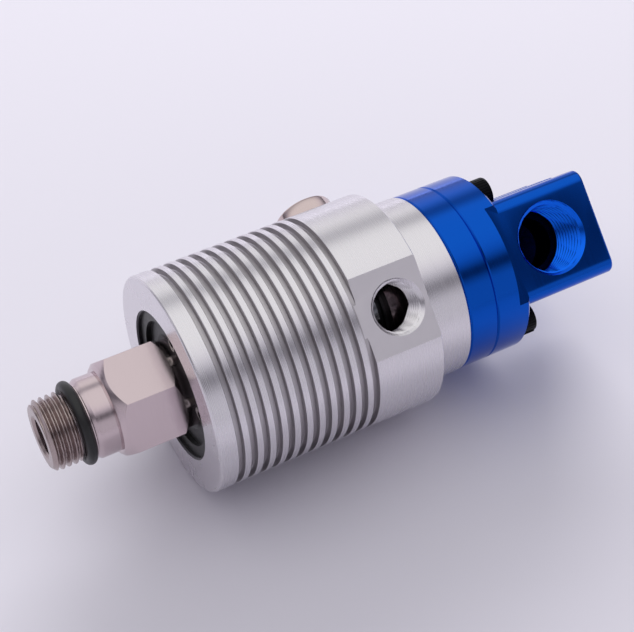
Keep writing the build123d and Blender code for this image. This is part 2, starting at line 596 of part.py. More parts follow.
# ---------------------------------------------------------------- end cap
flange_r = CAP_D / 2
inlet_plane = plane_outward(inlet_station, INLET_ANGLE, BLOCK_PORT_SIDE)
with BuildPart() as end_cap:
    turn((adapter_rear, 0), (adapter_rear, flange_r - CAP_EDGE),
         (adapter_rear + CAP_EDGE, flange_r), (flange_rear - CAP_EDGE, flange_r),
         (flange_rear, flange_r - CAP_EDGE), (flange_rear, 0))
    with BuildSketch(plane_outward(flange_rear, INLET_ANGLE, BLOCK_PORT_SIDE)):
        Rectangle(FACE_RUNOUT, CAP_D, align=(Align.MAX, Align.CENTER))
    extrude(amount=CAP_D, mode=Mode.SUBTRACT)
    with BuildSketch(plane_across(flange_rear, INLET_ANGLE)):
        with Locations((block_middle, 0)):
            RectangleRounded(BLOCK_PORT_SIDE + BLOCK_BACK, BLOCK_HEIGHT, BLOCK_FILLET)
    extrude(amount=BLOCK_LENGTH)
    chamfer(end_cap.faces().sort_by(Axis.X)[-1].edges(), BLOCK_EDGE)
    with BuildSketch(plane_across(flange_rear, PORT_ANGLE)):
        with screw_places():
            Circle(SCREW_RELIEF_D / 2)
    extrude(amount=BLOCK_LENGTH, mode=Mode.SUBTRACT)
    with BuildSketch(plane_across(adapter_rear, PORT_ANGLE)):
        with screw_places():
            Circle(SCREW_HOLE_D / 2)
    extrude(amount=FLANGE_LENGTH, mode=Mode.SUBTRACT)
    turn_ring(adapter_rear, inlet_station, 0, CAP_BORE_D / 2, mode=Mode.SUBTRACT)
    turn_ring(adapter_rear, adapter_rear + CAP_COUNTERBORE_DEPTH, 0, CAP_COUNTERBORE_D / 2,
              mode=Mode.SUBTRACT)
    turn_ring(adapter_rear, adapter_rear + FACE_RING_GROOVE_DEPTH,
              (FACE_RING_D - FACE_RING_SECTION) / 2 - RUN_GAP,
              (FACE_RING_D + FACE_RING_SECTION) / 2 + RUN_GAP, mode=Mode.SUBTRACT)
    with Locations(inlet_plane):
        CounterSinkHole(INLET_BORE_D / 2, INLET_BORE_D / 2 + INLET_LEAD, depth=INLET_THREAD_DEPTH,
                        counter_sink_angle=90)
        Hole(INLET_DRILL_D / 2, depth=BLOCK_PORT_SIDE + CAP_BORE_D / 2)
finish("end_cap", end_cap.part)

with BuildPart() as cap_oring:
    turn_ring(adapter_rear, adapter_rear + FACE_RING_GROOVE_DEPTH,
              (FACE_RING_D - FACE_RING_SECTION) / 2, (FACE_RING_D + FACE_RING_SECTION) / 2)
    fillet(cap_oring.edges(), FACE_RING_GROOVE_DEPTH / 3)
finish("cap_oring", cap_oring.part)

# ---------------------------------------------------------------- cap screws
head_plane = plane_across(flange_rear, PORT_ANGLE)
with BuildPart() as cap_screws:
    with BuildSketch(head_plane):
        with screw_places():
            Circle(SCREW_HEAD_D / 2)
    extrude(amount=SCREW_HEAD_LENGTH)
    chamfer(cap_screws.faces().group_by(Axis.X)[-1].edges(), 0.35)
    with BuildSketch(head_plane.offset(SCREW_HEAD_LENGTH)):
        with screw_places():
            RegularPolygon(SCREW_SOCKET / 2, 6, major_radius=False)
    extrude(amount=-SCREW_SOCKET_DEPTH, mode=Mode.SUBTRACT)
    with BuildSketch(head_plane):
        with screw_places():
            Circle(SCREW_D / 2)
    extrude(amount=-SCREW_LENGTH)
finish("cap_screws", cap_screws.part)
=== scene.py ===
import json
from math import ceil, cos, pi, radians, sin

import bmesh
import bpy
from mathutils import Matrix, Vector


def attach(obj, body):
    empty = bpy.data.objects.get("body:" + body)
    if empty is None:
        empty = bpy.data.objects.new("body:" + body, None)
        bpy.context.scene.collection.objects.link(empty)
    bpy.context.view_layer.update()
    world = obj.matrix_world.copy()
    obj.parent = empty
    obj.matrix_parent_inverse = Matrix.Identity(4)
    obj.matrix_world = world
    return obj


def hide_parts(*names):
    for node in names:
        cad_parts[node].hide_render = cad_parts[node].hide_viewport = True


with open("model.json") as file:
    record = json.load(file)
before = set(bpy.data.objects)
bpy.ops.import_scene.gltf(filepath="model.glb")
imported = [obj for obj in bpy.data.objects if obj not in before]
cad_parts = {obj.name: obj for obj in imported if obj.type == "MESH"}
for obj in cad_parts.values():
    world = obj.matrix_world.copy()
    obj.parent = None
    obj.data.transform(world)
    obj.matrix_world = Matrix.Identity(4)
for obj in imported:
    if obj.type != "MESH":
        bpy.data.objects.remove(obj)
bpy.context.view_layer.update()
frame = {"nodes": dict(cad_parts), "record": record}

MM = 0.001

# ------------------------------------------------------------------ shared sizes, in millimetres
PORT_ANGLE = 135.0            # first drain port, from +Y towards +Z
PORT_STEP = 120.0
INLET_ANGLE = 132.0           # the inlet and its milled face
HEX_TO_CORNER = 1 / cos(pi / 6)
SEGMENTS = 192
BARREL_SEGMENTS = 256
CLEAR = 30.0                  # cutters reach this far past what they cut


def out(angle):
    """Unit vector square to the axis, at an angle from +Y towards +Z."""
    return Vector((0, cos(radians(angle)), sin(radians(angle))))


def across(angle):
    """Unit vector square to the axis and to the outward direction at the angle."""
    return Vector((1, 0, 0)).cross(out(angle))


# ------------------------------------------------------------------ meshes
def mesh_object(name, points, faces):
    """Object at the origin from points in millimetres."""
    data = bpy.data.meshes.new(name)
    data.from_pydata([(p[0] * MM, p[1] * MM, p[2] * MM) for p in points], [], faces)
    data.validate()
    made = bpy.data.objects.new(name, data)
    bpy.context.scene.collection.objects.link(made)
    return made


def outward(obj):
    """Turn every face of a closed mesh outwards."""
    work = bmesh.new()
    work.from_mesh(obj.data)
    bmesh.ops.recalc_face_normals(work, faces=work.faces)
    work.to_mesh(obj.data)
    work.free()
    return obj


def skin(name, loops, closed=False):
    """Closed mesh over loops with as many points each, either joined end to end or capped."""
    size = len(loops[0])
    points = [point for loop in loops for point in loop]
    faces = []
    for index in range(len(loops) if closed else len(loops) - 1):
        a, b = index * size, (index + 1) % len(loops) * size
        for step in range(size):
            after = (step + 1) % size
            faces.append((a + step, a + after, b + after, b + step))
    if not closed:
        faces.append(tuple(range(size - 1, -1, -1)))
        faces.append(tuple((len(loops) - 1) * size + step for step in range(size)))
    return outward(mesh_object(name, points, faces))


def rings(name, stations, radius, segments=SEGMENTS, closed=False, place=None):
    """Skin over rings: radius(index, station, turn) gives each one's radius, along +X unless placed."""
    place = place or Matrix.Identity(4)
    loops = []
    for index, station in enumerate(stations):
        loop = []
        for step in range(segments):
            turn = 2 * pi * step / segments
            r = radius(index, station, turn)
            loop.append(place @ Vector((station, r * cos(turn), r * sin(turn))))
        loops.append(loop)
    return skin(name, loops, closed)


def lathe(name, profile, segments=SEGMENTS, place=None):
    """Closed turned ring from (station, radius) corners."""
    return rings(name, [p[0] for p in profile], lambda i, s, t: profile[i][1], segments, True, place)


def plug(name, profile, segments=SEGMENTS, place=None):
    """Solid turned piece from (station, radius) corners, capped at both ends."""
    return rings(name, [p[0] for p in profile], lambda i, s, t: profile[i][1], segments, False, place)


def slab(name, outline, layers, angle):
    """Piece along the axis from outlines of (outward at the angle, across) points, one per layer."""
    normal, side = out(angle), across(angle)
    loops = [[Vector((x, 0, 0)) + normal * h + side * w for h, w in outline(x)] for x in layers]
    return skin(name, loops)


def facing(station, angle, distance):
    """Placement whose +X points away from the union's axis at the angle."""
    normal = out(angle)
    side = Vector((1, 0, 0))
    third = normal.cross(side)
    turn = Matrix((normal, side, third)).transposed().to_4x4()
    return Matrix.Translation(Vector((station, 0, 0)) + normal * distance) @ turn


def block(name, low, high, angle):
    """Box from corners given as (along X, outward at the angle, across)."""
    normal, side = out(angle), across(angle)
    points = []
    for x in (low[0], high[0]):
        for h in (low[1], high[1]):
            for w in (low[2], high[2]):
                points.append(Vector((x, 0, 0)) + normal * h + side * w)
    faces = [(0, 1, 3, 2), (4, 6, 7, 5), (0, 4, 5, 1), (2, 3, 7, 6), (0, 2, 6, 4), (1, 5, 7, 3)]
    return outward(mesh_object(name, points, faces))


def combine(target, tools, operation="DIFFERENCE", finish=None):
    """Cut, join or intersect with other closed meshes, which are then removed.

    With a finish, faces keep their own tool's material, and the rest have that finish."""
    if finish:
        for piece in [target] + tools:
            if not piece.data.materials:
                piece.data.materials.append(MATERIALS[finish])
    for tool in tools:
        step = target.modifiers.new("step", "BOOLEAN")
        step.operation = operation
        step.solver = "EXACT"
        step.material_mode = "TRANSFER" if finish else "INDEX"
        step.object = tool
        settle(target)
        bpy.data.objects.remove(tool, do_unlink=True)
    return target


def settle(obj):
    """Make an object's modifiers part of its mesh."""
    graph = bpy.context.evaluated_depsgraph_get()
    data = bpy.data.meshes.new_from_object(obj.evaluated_get(graph))
    obj.modifiers.clear()
    old = obj.data
    obj.data = data
    bpy.data.meshes.remove(old)


def smooth(obj, angle=28):
    """Smooth shading with edges sharper than the angle kept."""
    obj.data.polygons.foreach_set("use_smooth", [True] * len(obj.data.polygons))
    obj.data.set_sharp_from_angle(angle=radians(angle))


def thread_dip(station, turn, pitch, depth, hand, flat=0.14):
    """How far a 60-degree thread form lies below its crest."""
    phase = (station / pitch - hand * turn / (2 * pi)) % 1.0
    distance = abs(phase - 0.5) * 2
    slope = (distance - flat) / (1 - 2 * flat)
    return depth * (1 - min(max(slope, 0.0), 1.0))


def spread(first, last, step):
    """Evenly spaced values, both ends included."""
    count = max(1, ceil(abs(last - first) / step))
    return [first + (last - first) * i / count for i in range(count + 1)]


def polar(radius, turn):
    """(outward, across) point at a turn in degrees."""
    return (radius * cos(radians(turn)), radius * sin(radians(turn)))


# ------------------------------------------------------------------ materials
def rgb(code):
    """sRGB hex to linear."""
    values = [int(code[i:i + 2], 16) / 255 for i in (1, 3, 5)]
    return [v / 12.92 if v <= 0.04045 else ((v + 0.055) / 1.055) ** 2.4 for v in values] + [1.0]


def add(tree, kind, inputs=None, **settings):
    """Add one node, set its settings and its inputs: a node's output, or a number."""
    node = tree.nodes.new(kind)
    for key, value in settings.items():
        setattr(node, key, value)
    for key, value in (inputs or {}).items():
        socket = node.inputs[key]
        if isinstance(value, bpy.types.NodeSocket):
            tree.links.new(value, socket)
        else:
            socket.default_value = value
    return node


def finish_of(name, colour, metallic, roughness, grain=None, grain_depth=0.0, wear=0.0):
    """A surface: base colour, fine directional grain and a spread of roughness along the grain.

    grain gives lines per metre along X, Y and Z of the piece's own coordinates, grain_depth is in
    millimetres, and wear is how far the roughness strays."""
    made = bpy.data.materials.new(name)
    made.use_nodes = True
    tree = made.node_tree
    tree.nodes.clear()
    output = add(tree, "ShaderNodeOutputMaterial")
    shader = add(tree, "ShaderNodeBsdfPrincipled", {"Base Color": rgb(colour), "Metallic": metallic,
                                                    "Roughness": roughness})
    tree.links.new(shader.outputs[0], output.inputs[0])
    if grain:
        place = add(tree, "ShaderNodeTexCoord").outputs["Object"]
        stretch = add(tree, "ShaderNodeVectorMath", {0: place, 1: grain}, operation="MULTIPLY")
        lines = add(tree, "ShaderNodeTexNoise", {"Vector": stretch.outputs[0], "Scale": 1.0,
                                                 "Detail": 4.0, "Roughness": 0.7})
        bump = add(tree, "ShaderNodeBump", {"Height": lines.outputs["Fac"], "Strength": 1.0,
                                            "Distance": grain_depth * MM})
        stray = add(tree, "ShaderNodeMapRange", {"Value": lines.outputs["Fac"],
                                                 "From Min": 0.3, "From Max": 0.7,
                                                 "To Min": roughness - wear,
                                                 "To Max": roughness + wear})
        tree.links.new(bump.outputs[0], shader.inputs["Normal"])
        tree.links.new(stray.outputs[0], shader.inputs["Roughness"])
    return made


MATERIALS = {
    # turned aluminium, fine feed lines round the barrel
    "housing_aluminium": finish_of("turned_aluminium", "#DEDBDF", 1.0, 0.27, (3200, 40, 40), 0.0012, 0.03),
    # milled aluminium of the flats, a coarser satin
    "milled_aluminium": finish_of("milled_aluminium", "#E6E2E6", 1.0, 0.46, (500, 500, 500), 0.0015, 0.03),
    # groove walls left rough by the form tool, with painted shade: a darker colour for the shade in the
    # grooves
    "groove_aluminium_painted_shade": finish_of("grooved_aluminium_painted_shade", "#BCB8BB", 1.0, 0.36, (900, 60, 60), 0.005, 0.05),
    # bore wall behind the mouth, painted shade: a dark colour for the shade inside the mouth
    "bore_painted_shade": finish_of("bore_painted_shade", "#454347", 1.0, 0.42, (900, 60, 60), 0.004, 0.06),
    # painted shade: a dark blue for the shade down a drilled hole
    "blue_painted_shade": finish_of("anodised_drilling_painted_shade", "#0A1236", 1.0, 0.45, (900, 900, 900), 0.004, 0.06),
    # ground stainless steel, slightly warm
    "stainless": finish_of("ground_stainless", "#CBBBBE", 1.0, 0.20, (2600, 60, 60), 0.003, 0.05),
    # stainless thread and nose end, rougher from the thread tool, with painted shade: a darker colour
    "thread_steel_painted_shade": finish_of("threaded_stainless_painted_shade", "#A89A98", 1.0, 0.27, (2600, 60, 60), 0.003, 0.05),
    # polished bearing steel
    "bearing_steel": finish_of("bearing_steel", "#B9B9BC", 1.0, 0.18, (2600, 60, 60), 0.002, 0.04),
    # phosphated spring steel of the circlip and coils
    "spring_steel": finish_of("phosphated_spring_steel", "#3B3C3A", 1.0, 0.40, (900, 900, 900), 0.004, 0.06),
    # painted highlight: the circlip's own spring steel, coloured bright on its lugs
    "lug_painted_highlight": finish_of("spring_steel_painted_highlight", "#D2D4CC", 1.0, 0.30, (900, 900, 900), 0.003, 0.05),
    # blue anodised aluminium, satin turned
    "blue_anodised": finish_of("blue_anodised", "#0F53BD", 1.0, 0.15, (2400, 50, 50), 0.0015, 0.03),
    # painted highlight: a brighter blue on the flanks of the inlet thread
    "blue_thread_painted_highlight": finish_of("anodised_thread_painted_highlight", "#1466EA", 1.0, 0.22, (2400, 50, 50), 0.0015, 0.03),
    # nitrile rubber
    "black_rubber": finish_of("nitrile_rubber", "#0D0D0F", 0.0, 0.42, (700, 700, 700), 0.006, 0.06),
    # black oxide on alloy steel
    "black_oxide_steel": finish_of("black_oxide", "#17171A", 1.0, 0.40, (1500, 1500, 1500), 0.004, 0.08),
    # lapped carbon graphite
    "carbon_graphite": finish_of("carbon_graphite", "#26262A", 0.0, 0.35, (1500, 1500, 1500), 0.002, 0.05),
    # lapped carbide
    "carbide": finish_of("lapped_carbide", "#8F9196", 1.0, 0.15, (1500, 1500, 1500), 0.001, 0.03),
    # moulded glass-filled polyamide
    "cage_polymer": finish_of("cage_polyamide", "#A88A5C", 0.0, 0.45, (900, 900, 900), 0.004, 0.06),
    # nickel plated steel
    "plated_steel": finish_of("nickel_plate", "#CDBCBA", 1.0, 0.15, (90, 90, 90), 0.003, 0.05),
    # annealed aluminium washer
    "soft_washer": finish_of("annealed_aluminium", "#BEBBB6", 1.0, 0.34, (900, 900, 900), 0.004, 0.06),
}


def painted(obj, name):
    """Give a piece or a cutter its own surface."""
    obj.data.materials.append(MATERIALS[name])
    return obj


def repaint(obj, name, chosen):
    """Give a surface to the faces that chosen(station, distance from the axis) picks, in mm."""
    obj.data.materials.append(MATERIALS[name])
    for face in obj.data.polygons:
        if chosen(face.center.x / MM, face.center.yz.length / MM):
            face.material_index = len(obj.data.materials) - 1


def dress(obj, slot, body, *nodes):
    """Give a finished piece its body, the CAD nodes that it stands for and, if it has none, its material."""
    if not obj.data.materials:
        obj.data.materials.append(MATERIALS[slot])
    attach(obj, body)
    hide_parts(*nodes)


slot_of = {s["node"]: s["material_slot"] for s in frame["record"]["subparts"]}
for node, obj in frame["nodes"].items():
    obj.data.materials.clear()
    obj.data.materials.append(MATERIALS[slot_of[node]])

# ------------------------------------------------------------------ rotor
NOSE_FRONT = -15.0
NOSE_EDGE_R = 6.95            # where the nose's front chamfer starts
NOSE_CHAMFER = 1.1            # rise of that chamfer per millimetre
THREAD_R = 8.0
THREAD_PITCH = 1.5
THREAD_DEPTH = 0.92
LEFT_HAND = -1
UNDERCUT = -8.6
UNDERCUT_R = 7.1
PILOT_TIP = -5.5
PILOT_TIP_R = 8.4
PILOT_STEP = -5.2             # end of the narrow tip
PILOT_FRONT = -4.25           # start of the full pilot
PILOT_R = 9.0
RELIEF_R = 8.85               # narrow groove at the pilot's shoulder
HEX = 21.0
HEX_LENGTH = 14.4
HEX_CHAMFER = 2.4
HEX_REAR_CHAMFER = 1.3
HEX_TURN = PORT_ANGLE - 4
HEX_CORNER = HEX / 2 * HEX_TO_CORNER
JOURNAL_R = 10.0
JOURNAL_REAR = 21.1
SEAT_R = 8.5                  # under the bearings
SEAT_REAR = 53.5
SPIGOT_R = 7.0
SPIGOT_GROOVE = (55.0, 56.8, 5.8)
ROTOR_REAR = 58.3
BORE_R = 4.25
BORE_LEAD = 0.6
EDGE = 0.1                    # broken edge of a turned step


def rotor_outline():
    """(station, radius) corners from the nose to the spigot and back through the bore."""
    groove_front, groove_rear, groove_r = SPIGOT_GROOVE
    threaded = spread(NOSE_FRONT + 0.05, UNDERCUT, 0.07)
    nose = [(NOSE_FRONT, BORE_R + BORE_LEAD), (NOSE_FRONT, NOSE_EDGE_R - 0.35), (NOSE_FRONT, NOSE_EDGE_R)]
    nose += [(x, min(THREAD_R, NOSE_EDGE_R + (x - NOSE_FRONT) * NOSE_CHAMFER)) for x in threaded]
    nose += [(UNDERCUT + 0.2, 7.6), (UNDERCUT + 0.4, UNDERCUT_R), (PILOT_TIP, UNDERCUT_R)]
    pilot = [(PILOT_TIP, PILOT_TIP_R - 0.08), (PILOT_TIP + 0.06, PILOT_TIP_R), (PILOT_STEP, PILOT_TIP_R),
             (PILOT_FRONT - 0.11, PILOT_R - 0.05), (PILOT_FRONT, PILOT_R), (-0.4, PILOT_R),
             (-0.3, RELIEF_R), (-EDGE, RELIEF_R)]
    core = [(1.5, PILOT_R - 0.2), (13.0, PILOT_R - 0.2), (13.6, JOURNAL_R - EDGE)]
    journal = [(14.3, JOURNAL_R), (JOURNAL_REAR - EDGE, JOURNAL_R), (JOURNAL_REAR, JOURNAL_R - EDGE)]
    seat = [(JOURNAL_REAR, SEAT_R), (SEAT_REAR - EDGE, SEAT_R), (SEAT_REAR, SEAT_R - EDGE)]
    spigot = [(SEAT_REAR, SPIGOT_R), (groove_front, SPIGOT_R), (groove_front, groove_r),
              (groove_rear, groove_r), (groove_rear, SPIGOT_R), (ROTOR_REAR - EDGE, SPIGOT_R),
              (ROTOR_REAR, SPIGOT_R - EDGE)]
    bore = [(ROTOR_REAR, BORE_R), (NOSE_FRONT + BORE_LEAD, BORE_R)]
    return nose + pilot + core + journal + seat + spigot + bore


def rotor_radius(index, station, turn):
    """Outline radius, with the left-hand thread cut into the nose."""
    limit = rotor_corners[index][1]
    if limit > BORE_R + 1.0 and station < UNDERCUT + 0.45:
        return min(limit, THREAD_R - thread_dip(station, turn, THREAD_PITCH, THREAD_DEPTH, LEFT_HAND))
    return limit


rotor_corners = rotor_outline()
rotor = rings("rotor_body", [station for station, r in rotor_corners], rotor_radius, SEGMENTS, True)

hex_core_r = 5.5
hex_face_r = HEX_CORNER - HEX_CHAMFER
hexagon = lathe("hexagon", [(0, hex_core_r), (0, hex_face_r), (0.05, hex_face_r + 0.08),
                            (HEX_CHAMFER, HEX_CORNER + 0.03),
                            (HEX_LENGTH - HEX_REAR_CHAMFER, HEX_CORNER + 0.03),
                            (HEX_LENGTH, HEX_CORNER - HEX_REAR_CHAMFER), (HEX_LENGTH, hex_core_r)], 240)
prism = rings("prism", [-1.0, HEX_LENGTH + 1.0], lambda i, s, t: HEX_CORNER, 6, False,
              Matrix.Rotation(radians(HEX_TURN), 4, "X"))
combine(hexagon, [prism], "INTERSECT")
combine(rotor, [hexagon], "UNION")
painted(rotor, "stainless")
# painted shade: the thread and nose end take a darker stainless
repaint(rotor, "thread_steel_painted_shade", lambda x, r: x < UNDERCUT + 0.3)
smooth(rotor)
dress(rotor, "stainless", "rotor", "rotor")

# ------------------------------------------------------------------ nose O-ring
ORING_R = 1.2                 # radius of its section
ORING_STEPS = 32
oring_turns = [2 * pi * i / ORING_STEPS for i in range(ORING_STEPS)]
oring = lathe("nose_seal_ring", [(PILOT_TIP - 1.25 + ORING_R * cos(turn),
                                  UNDERCUT_R + ORING_R + ORING_R * sin(turn)) for turn in oring_turns])
smooth(oring, 60)
dress(oring, "black_rubber", "rotor", "nose_oring")

# ------------------------------------------------------------------ housing
FRONT = 15.0
NECK = 69.2
REAR = 78.6
BARREL_R = 25.0
FRONT_EDGE = ((0.0, 0.55), (0.1, 0.35), (0.35, 0.08), (0.55, 0.0))   # (behind the face, below the barrel)
NECK_R = 21.0
NECK_EDGE = 0.25
BARREL_EDGE = 0.2
GROOVES = 12
GROOVE_FIRST = 5.0            # middle of the first groove behind the front
GROOVE_PITCH = 2.94
GROOVE_WIDTH = 1.5
GROOVE_DEPTH = 1.5
GROOVE_EDGE = 0.1
GROOVE_CORNER = 0.15
MOUTH_R = 17.0
MOUTH_LEAD = 0.35
CLIP_FRONT = 16.0
CLIP_THICKNESS = 1.2
CLIP_GROOVE_R = 17.85
BEARINGS_REAR = 47.1
SHOULDER_R = 14.5
CHAMBER_FRONT = 50.7
CHAMBER_REAR = 72.6
CHAMBER_R = 15.5
REAR_BORE_R = 13.5
FLAT_R = 23.2
PORT_X = 61.9
PORT_R = 5.3                  # crests of the port's thread
PORT_DEPTH = 12.0
PORT_PITCH = 1.25
PORT_FORM = 0.68
PORT_LEAD = 0.25

last_groove = FRONT + GROOVE_FIRST + (GROOVES - 1) * GROOVE_PITCH
groove_root = BARREL_R - GROOVE_DEPTH


def groove(middle):
    """Corners of one groove, broken at the barrel and eased at the root."""
    half = GROOVE_WIDTH / 2
    front = [(middle - half - GROOVE_EDGE, BARREL_R), (middle - half, BARREL_R - GROOVE_EDGE),
             (middle - half, groove_root + GROOVE_CORNER), (middle - half + GROOVE_CORNER, groove_root)]
    return front + [(2 * middle - x, r) for x, r in reversed(front)]


def tapped_hole(name, place, crest_r, depth, pitch, form, lead, fine=0.09, segments=96):
    """Cutter for a right-hand threaded hole: +X of the placement points out of its mouth."""
    track = spread(-depth, 0, fine)
    mouth_r = crest_r + form + lead

    def radius(index, station, turn):
        if index >= len(track):
            return mouth_r
        return max(crest_r + form - thread_dip(station, turn, pitch, form, -1), mouth_r + station)
    return rings(name, track + [0.0, 2.0], radius, segments, False, place)


profile = [(FRONT, MOUTH_R + MOUTH_LEAD)]
profile += [(FRONT + x, BARREL_R - drop) for x, drop in FRONT_EDGE]
for index in range(GROOVES):
    profile += groove(FRONT + GROOVE_FIRST + index * GROOVE_PITCH)
profile += [(NECK - BARREL_EDGE, BARREL_R), (NECK, BARREL_R - BARREL_EDGE), (NECK, NECK_R + NECK_EDGE),
            (NECK + NECK_EDGE, NECK_R), (REAR - NECK_EDGE, NECK_R), (REAR, NECK_R - NECK_EDGE),
            (REAR, REAR_BORE_R), (CHAMBER_REAR, REAR_BORE_R), (CHAMBER_REAR, CHAMBER_R),
            (CHAMBER_FRONT, CHAMBER_R), (CHAMBER_FRONT, SHOULDER_R), (BEARINGS_REAR, SHOULDER_R),
            (BEARINGS_REAR, MOUTH_R), (CLIP_FRONT + CLIP_THICKNESS, MOUTH_R),
            (CLIP_FRONT + CLIP_THICKNESS, CLIP_GROOVE_R), (CLIP_FRONT, CLIP_GROOVE_R),
            (CLIP_FRONT, MOUTH_R), (FRONT + MOUTH_LEAD, MOUTH_R)]
housing = lathe("housing_body", profile, BARREL_SEGMENTS)

port_angles = [PORT_ANGLE + index * PORT_STEP for index in range(3)]
flats = [painted(block("flat", (last_groove, FLAT_R, -CLEAR), (NECK + 5, FLAT_R + CLEAR, CLEAR), angle),
                 "milled_aluminium") for angle in port_angles]
ports = [tapped_hole("port", facing(PORT_X, angle, FLAT_R), PORT_R, PORT_DEPTH, PORT_PITCH, PORT_FORM,
                     PORT_LEAD) for angle in port_angles]
combine(housing, flats + ports, finish="housing_aluminium")
# painted shade: the groove walls and floors take a darker aluminium
repaint(housing, "groove_aluminium_painted_shade",
        lambda x, r: FRONT + 3 < x < last_groove + 1 and groove_root - 0.1 < r < BARREL_R - 0.12)
# painted shade: the bore wall inside the mouth is coloured dark
repaint(housing, "bore_painted_shade",
        lambda x, r: FRONT + 0.1 < x < BEARINGS_REAR - 0.1 and r < CLIP_GROOVE_R + 0.05)
smooth(housing, 15)
dress(housing, "housing_aluminium", "housing", "housing")

# ------------------------------------------------------------------ adapter ring
RING_R = 20.9
RING_EDGE = 0.5
SEAM = 85.7
SEAM_EDGE = 0.35
ADAPTER_FRONT = 74.6
ADAPTER_SPIGOT_R = 13.49
ADAPTER_BORE_R = 7.05
SPIGOT_ORING = (75.7, 77.5, 12.29)        # front, rear and root of its groove
CARRIER_ORING = (81.05, 83.25, 8.65)


def ring_groove(groove, r):
    """Corners of a ring groove (front, rear, root) in a wall of radius r, front to rear."""
    front, rear, root = groove
    return [(front, r), (front, root), (rear, root), (rear, r)]


adapter_profile = [(REAR, ADAPTER_SPIGOT_R), (REAR, RING_R - RING_EDGE), (REAR + RING_EDGE, RING_R),
                   (SEAM - SEAM_EDGE, RING_R), (SEAM, RING_R - SEAM_EDGE), (SEAM, ADAPTER_BORE_R)]
adapter_profile += ring_groove(CARRIER_ORING, ADAPTER_BORE_R)[::-1]
adapter_profile += [(ADAPTER_FRONT, ADAPTER_BORE_R), (ADAPTER_FRONT, ADAPTER_SPIGOT_R)]
adapter_profile += ring_groove(SPIGOT_ORING, ADAPTER_SPIGOT_R)
adapter = lathe("adapter_body", adapter_profile, BARREL_SEGMENTS)
smooth(adapter)
dress(adapter, "blue_anodised", "housing", "adapter_ring")

# ------------------------------------------------------------------ end cap
FLANGE = 94.2                 # rear face of the flange
END = 117.0
FACE = 17.5                   # milled face with the inlet
BACK = 12.5
HALF_HEIGHT = 12.25
BLOCK_FILLET = 3.0
END_EDGE = 0.5
RUNOUT = 2.8                  # how far the face's cutter runs into the flange
COUNTERBORE_R = 7.6
COUNTERBORE_REAR = 90.7
CAP_BORE_R = 5.2
PASSAGE_R = 5.0
INLET_X = 104.5
INLET_R = 7.475               # crests of the inlet's thread
INLET_DEPTH = 12.5
INLET_PITCH = 1.337
INLET_FORM = 0.86
INLET_LEAD = 0.15
DRILL_R = 6.0
DRILL_POINT = 3.4
SCREW_R = 16.5                # pitch radius of the screws
SCREW_TURNS = (66, -66, 114, -114)
SHANK_HOLE_R = 2.15
HEAD_ROOM_R = 4.0             # scallop in the block that clears a screw's head

cap = lathe("cap_body", [(SEAM, COUNTERBORE_R), (SEAM, RING_R - SEAM_EDGE), (SEAM + SEAM_EDGE, RING_R),
                         (FLANGE - RING_EDGE, RING_R), (FLANGE, RING_R - RING_EDGE), (FLANGE, CAP_BORE_R),
                         (COUNTERBORE_REAR, CAP_BORE_R), (COUNTERBORE_REAR, COUNTERBORE_R)], BARREL_SEGMENTS)


def block_outline(station):
    """The block's section, long edges rounded and drawn in where its end edge is broken."""
    drop = {END: END_EDGE, END - 0.3 * END_EDGE: 0.3 * END_EDGE}.get(station, 0.0)
    steps, radius, points = 10, BLOCK_FILLET - drop, []
    for h, side, start in ((FACE, 1, 0), (-BACK, 1, 90), (-BACK, -1, 180), (FACE, -1, 270)):
        middle_h = h - BLOCK_FILLET if h > 0 else h + BLOCK_FILLET
        middle_w = side * (HALF_HEIGHT - BLOCK_FILLET)
        for i in range(steps + 1):
            turn = radians(start + 90 * i / steps)
            points.append((middle_h + radius * cos(turn), middle_w + radius * sin(turn)))
    return points


block_layers = (FLANGE - 6.0, END - END_EDGE, END - 0.3 * END_EDGE, END)
cap_block = slab("block", block_outline, block_layers, INLET_ANGLE)
combine(cap, [cap_block], "UNION", "blue_anodised")
screw_centres = [out(PORT_ANGLE + turn) * SCREW_R for turn in SCREW_TURNS]
cuts = [block("runout", (FLANGE - RUNOUT, FACE, -CLEAR), (FLANGE + 1, FACE + CLEAR, CLEAR), INLET_ANGLE)]
for centre in screw_centres:
    place = Matrix.Translation(centre)
    cuts.append(plug("relief", [(FLANGE, HEAD_ROOM_R), (END + 2, HEAD_ROOM_R)], 64, place))
    cuts.append(plug("shank_hole", [(SEAM - 1, SHANK_HOLE_R), (FLANGE + 1, SHANK_HOLE_R)], 48, place))
# painted shade: the passage's walls are coloured dark blue
cuts.append(painted(plug("passage", [(SEAM - 1, PASSAGE_R), (INLET_X, PASSAGE_R)], 96), "blue_painted_shade"))
cuts.append(plug("counterbore", [(SEAM - 1, COUNTERBORE_R), (COUNTERBORE_REAR, COUNTERBORE_R)], 96))
drill = plug("drill", [(-DRILL_R, 0.3), (DRILL_POINT - DRILL_R, DRILL_R), (FACE + 1, DRILL_R)], 96,
             facing(INLET_X, INLET_ANGLE, 0))
# painted shade: the drilled hole's walls are coloured dark blue
cuts.append(painted(drill, "blue_painted_shade"))
# painted highlight: the inlet thread's flanks take a brighter blue
cuts.append(painted(tapped_hole("inlet", facing(INLET_X, INLET_ANGLE, FACE), INLET_R, INLET_DEPTH,
                                INLET_PITCH, INLET_FORM, INLET_LEAD), "blue_thread_painted_highlight"))
combine(cap, cuts, finish="blue_anodised")
# painted shade: the floor of the inlet's thread is coloured dark blue too
inside = [m.name for m in cap.data.materials].index(MATERIALS["blue_painted_shade"].name)
for face in cap.data.polygons:
    height = face.center.dot(out(INLET_ANGLE)) / MM
    if abs(height - (FACE - INLET_DEPTH)) < 0.1 and abs(face.center.x / MM - INLET_X) < 9.0:
        face.material_index = inside
smooth(cap, 20)
dress(cap, "blue_anodised", "housing", "end_cap")

